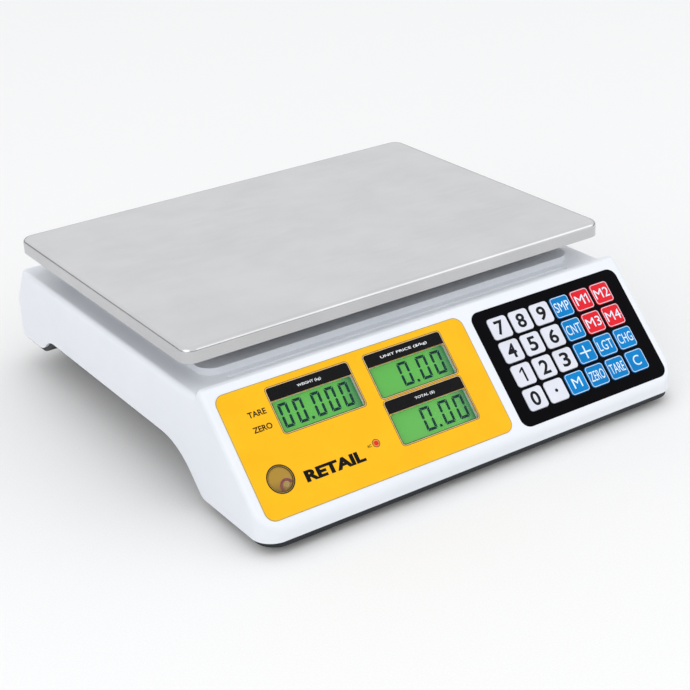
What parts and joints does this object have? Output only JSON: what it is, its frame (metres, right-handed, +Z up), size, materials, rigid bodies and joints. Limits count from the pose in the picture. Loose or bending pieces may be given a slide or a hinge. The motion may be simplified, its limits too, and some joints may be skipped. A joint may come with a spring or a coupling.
{
  "type": "retail price scale",
  "caption": "Price-computing counter scale: stainless pan on a spider, white case with sloping yellow display panel and black keypad, customer display, levelling feet.",
  "frame": {"origin": "on the counter, under the middle of the body's footprint", "axes": "+X to the operator's right, -Y towards the operator and the sloping panel, +Z up; the pan is 26 mm behind the origin"},
  "size_m": [0.34, 0.362, 0.11],
  "materials": {
    "white_abs": "fine moulded satin",
    "black_abs": "fine spark texture",
    "yellow_film": "printed polyester film",
    "black_film": "printed polyester film",
    "clear_acrylic": "clear polished",
    "lcd_green": "backlit display glass",
    "green_pcb": "solder mask",
    "dome_steel": "stamped",
    "olive_acrylic": "tinted acrylic",
    "red_acrylic": "tinted clear",
    "stainless": "satin rolled stainless",
    "cast_aluminium": "cast, tumbled",
    "black_rubber": "moulded",
    "zinc_steel": "zinc plated",
    "bare_aluminium": "machined",
    "battery_case": "moulded",
    "black_nylon": "moulded",
    "red_nylon": "moulded",
    "laminated_iron": "varnished laminations",
    "key_light": "printed polyester film",
    "key_red": "printed polyester film",
    "key_blue": "printed polyester film"
  },
  "bodies": {
    "case": {"upper_housing": "white_abs", "base_tray": "black_abs", "display_overlay": "yellow_film", "keypad_overlay": "black_film", "display_windows": "clear_acrylic", "lcd_modules": "lcd_green", "display_board": "green_pcb", "keypad_board": "green_pcb", "main_board": "green_pcb", "level_vial": "olive_acrylic", "power_light": "red_acrylic", "customer_overlay": "yellow_film", "customer_lcd": "lcd_green", "load_cell": "bare_aluminium", "cell_spacer": "bare_aluminium", "cell_bolts": "zinc_steel", "battery": "battery_case", "switch_case": "black_nylon", "mains_inlet": "black_nylon", "transformer": "laminated_iron", "case_screws": "zinc_steel", "key_domes": "dome_steel"},
    "platform": {"platform_spider": "cast_aluminium", "pan_pads": "black_rubber", "platform_bolts": "zinc_steel"},
    "weighing_pan": {"pan": "stainless"},
    "bay_cover": {"battery_cover": "black_abs"},
    "rocker": {"power_rocker": "red_nylon"},
    "sole_front_left": {"foot_sole_front_left": "black_rubber"},
    "stem_front_left": {"foot_stem_front_left": "zinc_steel"},
    "sole_front_right": {"foot_sole_front_right": "black_rubber"},
    "stem_front_right": {"foot_stem_front_right": "zinc_steel"},
    "sole_rear_left": {"foot_sole_rear_left": "black_rubber"},
    "stem_rear_left": {"foot_stem_rear_left": "zinc_steel"},
    "sole_rear_right": {"foot_sole_rear_right": "black_rubber"},
    "stem_rear_right": {"foot_stem_rear_right": "zinc_steel"},
    "cap_7": {"key_7": "key_light"},
    "cap_8": {"key_8": "key_light"},
    "cap_9": {"key_9": "key_light"},
    "cap_sample": {"key_sample": "key_blue"},
    "cap_m1": {"key_m1": "key_red"},
    "cap_m2": {"key_m2": "key_red"},
    "cap_4": {"key_4": "key_light"},
    "cap_5": {"key_5": "key_light"},
    "cap_6": {"key_6": "key_light"},
    "cap_count": {"key_count": "key_blue"},
    "cap_m3": {"key_m3": "key_red"},
    "cap_m4": {"key_m4": "key_red"},
    "cap_1": {"key_1": "key_light"},
    "cap_2": {"key_2": "key_light"},
    "cap_3": {"key_3": "key_light"},
    "cap_plus": {"key_plus": "key_blue"},
    "cap_light": {"key_light": "key_blue"},
    "cap_change": {"key_change": "key_blue"},
    "cap_0": {"key_0": "key_light"},
    "cap_point": {"key_point": "key_light"},
    "cap_memory": {"key_memory": "key_blue"},
    "cap_zero_set": {"key_zero_set": "key_blue"},
    "cap_tare": {"key_tare": "key_blue"},
    "cap_clear": {"key_clear": "key_blue"}
  },
  "joints": [
    {"name": "platform_deflect", "type": "slide", "parent": "case", "child": "platform", "axis": [0, 0, 1], "range_m": [-0.0005, 0], "stiffness_N_per_m": 200000, "springref_m": 0.0001, "deforming": ["load_cell"]},
    {"name": "pan_lift", "type": "slide", "parent": "platform", "child": "weighing_pan", "axis": [0, 0, 1], "range_m": [0, 0.06]},
    {"name": "battery_cover_slide", "type": "slide", "parent": "case", "child": "bay_cover", "axis": [0, 1, 0], "range_m": [0, 0.085]},
    {"name": "power_rocker_tilt", "type": "hinge", "parent": "case", "child": "rocker", "pos_m": [0.138, 0.086, 0.0356], "axis": [1, 0, 0], "range_deg": [0, 14]},
    {"name": "foot_front_left_travel", "type": "slide", "parent": "case", "child": "sole_front_left", "axis": [0, 0, 1], "range_m": [-0.00501, 0.00251]},
    {"name": "foot_front_left_turn", "type": "hinge", "parent": "sole_front_left", "child": "stem_front_left", "pos_m": [-0.118, -0.132, 0.01], "axis": [0, 0, 1], "range_deg": [-1440, 720]},
    {"name": "foot_front_right_travel", "type": "slide", "parent": "case", "child": "sole_front_right", "axis": [0, 0, 1], "range_m": [-0.00501, 0.00251]},
    {"name": "foot_front_right_turn", "type": "hinge", "parent": "sole_front_right", "child": "stem_front_right", "pos_m": [0.118, -0.132, 0.01], "axis": [0, 0, 1], "range_deg": [-1440, 720]},
    {"name": "foot_rear_left_travel", "type": "slide", "parent": "case", "child": "sole_rear_left", "axis": [0, 0, 1], "range_m": [-0.00501, 0.00251]},
    {"name": "foot_rear_left_turn", "type": "hinge", "parent": "sole_rear_left", "child": "stem_rear_left", "pos_m": [-0.118, 0.118, 0.01], "axis": [0, 0, 1], "range_deg": [-1440, 720]},
    {"name": "foot_rear_right_travel", "type": "slide", "parent": "case", "child": "sole_rear_right", "axis": [0, 0, 1], "range_m": [-0.00501, 0.00251]},
    {"name": "foot_rear_right_turn", "type": "hinge", "parent": "sole_rear_right", "child": "stem_rear_right", "pos_m": [0.118, 0.118, 0.01], "axis": [0, 0, 1], "range_deg": [-1440, 720]},
    {"name": "press_key_7", "type": "slide", "parent": "case", "child": "cap_7", "axis": [0, -0.7193, 0.6947], "range_m": [-0.00035, 0], "stiffness_N_per_m": 1500, "springref_m": 0.0004},
    {"name": "press_key_8", "type": "slide", "parent": "case", "child": "cap_8", "axis": [0, -0.7193, 0.6947], "range_m": [-0.00035, 0], "stiffness_N_per_m": 1500, "springref_m": 0.0004},
    {"name": "press_key_9", "type": "slide", "parent": "case", "child": "cap_9", "axis": [0, -0.7193, 0.6947], "range_m": [-0.00035, 0], "stiffness_N_per_m": 1500, "springref_m": 0.0004},
    {"name": "press_key_sample", "type": "slide", "parent": "case", "child": "cap_sample", "axis": [0, -0.7193, 0.6947], "range_m": [-0.00035, 0], "stiffness_N_per_m": 1500, "springref_m": 0.0004},
    {"name": "press_key_m1", "type": "slide", "parent": "case", "child": "cap_m1", "axis": [0, -0.7193, 0.6947], "range_m": [-0.00035, 0], "stiffness_N_per_m": 1500, "springref_m": 0.0004},
    {"name": "press_key_m2", "type": "slide", "parent": "case", "child": "cap_m2", "axis": [0, -0.7193, 0.6947], "range_m": [-0.00035, 0], "stiffness_N_per_m": 1500, "springref_m": 0.0004},
    {"name": "press_key_4", "type": "slide", "parent": "case", "child": "cap_4", "axis": [0, -0.7193, 0.6947], "range_m": [-0.00035, 0], "stiffness_N_per_m": 1500, "springref_m": 0.0004},
    {"name": "press_key_5", "type": "slide", "parent": "case", "child": "cap_5", "axis": [0, -0.7193, 0.6947], "range_m": [-0.00035, 0], "stiffness_N_per_m": 1500, "springref_m": 0.0004},
    {"name": "press_key_6", "type": "slide", "parent": "case", "child": "cap_6", "axis": [0, -0.7193, 0.6947], "range_m": [-0.00035, 0], "stiffness_N_per_m": 1500, "springref_m": 0.0004},
    {"name": "press_key_count", "type": "slide", "parent": "case", "child": "cap_count", "axis": [0, -0.7193, 0.6947], "range_m": [-0.00035, 0], "stiffness_N_per_m": 1500, "springref_m": 0.0004},
    {"name": "press_key_m3", "type": "slide", "parent": "case", "child": "cap_m3", "axis": [0, -0.7193, 0.6947], "range_m": [-0.00035, 0], "stiffness_N_per_m": 1500, "springref_m": 0.0004},
    {"name": "press_key_m4", "type": "slide", "parent": "case", "child": "cap_m4", "axis": [0, -0.7193, 0.6947], "range_m": [-0.00035, 0], "stiffness_N_per_m": 1500, "springref_m": 0.0004},
    {"name": "press_key_1", "type": "slide", "parent": "case", "child": "cap_1", "axis": [0, -0.7193, 0.6947], "range_m": [-0.00035, 0], "stiffness_N_per_m": 1500, "springref_m": 0.0004},
    {"name": "press_key_2", "type": "slide", "parent": "case", "child": "cap_2", "axis": [0, -0.7193, 0.6947], "range_m": [-0.00035, 0], "stiffness_N_per_m": 1500, "springref_m": 0.0004},
    {"name": "press_key_3", "type": "slide", "parent": "case", "child": "cap_3", "axis": [0, -0.7193, 0.6947], "range_m": [-0.00035, 0], "stiffness_N_per_m": 1500, "springref_m": 0.0004},
    {"name": "press_key_plus", "type": "slide", "parent": "case", "child": "cap_plus", "axis": [0, -0.7193, 0.6947], "range_m": [-0.00035, 0], "stiffness_N_per_m": 1500, "springref_m": 0.0004},
    {"name": "press_key_light", "type": "slide", "parent": "case", "child": "cap_light", "axis": [0, -0.7193, 0.6947], "range_m": [-0.00035, 0], "stiffness_N_per_m": 1500, "springref_m": 0.0004},
    {"name": "press_key_change", "type": "slide", "parent": "case", "child": "cap_change", "axis": [0, -0.7193, 0.6947], "range_m": [-0.00035, 0], "stiffness_N_per_m": 1500, "springref_m": 0.0004},
    {"name": "press_key_0", "type": "slide", "parent": "case", "child": "cap_0", "axis": [0, -0.7193, 0.6947], "range_m": [-0.00035, 0], "stiffness_N_per_m": 1500, "springref_m": 0.0004},
    {"name": "press_key_point", "type": "slide", "parent": "case", "child": "cap_point", "axis": [0, -0.7193, 0.6947], "range_m": [-0.00035, 0], "stiffness_N_per_m": 1500, "springref_m": 0.0004},
    {"name": "press_key_memory", "type": "slide", "parent": "case", "child": "cap_memory", "axis": [0, -0.7193, 0.6947], "range_m": [-0.00035, 0], "stiffness_N_per_m": 1500, "springref_m": 0.0004},
    {"name": "press_key_zero_set", "type": "slide", "parent": "case", "child": "cap_zero_set", "axis": [0, -0.7193, 0.6947], "range_m": [-0.00035, 0], "stiffness_N_per_m": 1500, "springref_m": 0.0004},
    {"name": "press_key_tare", "type": "slide", "parent": "case", "child": "cap_tare", "axis": [0, -0.7193, 0.6947], "range_m": [-0.00035, 0], "stiffness_N_per_m": 1500, "springref_m": 0.0004},
    {"name": "press_key_clear", "type": "slide", "parent": "case", "child": "cap_clear", "axis": [0, -0.7193, 0.6947], "range_m": [-0.00035, 0], "stiffness_N_per_m": 1500, "springref_m": 0.0004}
  ],
  "couplings": [
    {"joint": "foot_front_left_travel", "follows": "foot_front_left_turn", "m_per_rad": 0.00019894},
    {"joint": "foot_front_right_travel", "follows": "foot_front_right_turn", "m_per_rad": 0.00019894},
    {"joint": "foot_rear_left_travel", "follows": "foot_rear_left_turn", "m_per_rad": 0.00019894},
    {"joint": "foot_rear_right_travel", "follows": "foot_rear_right_turn", "m_per_rad": 0.00019894}
  ]
}
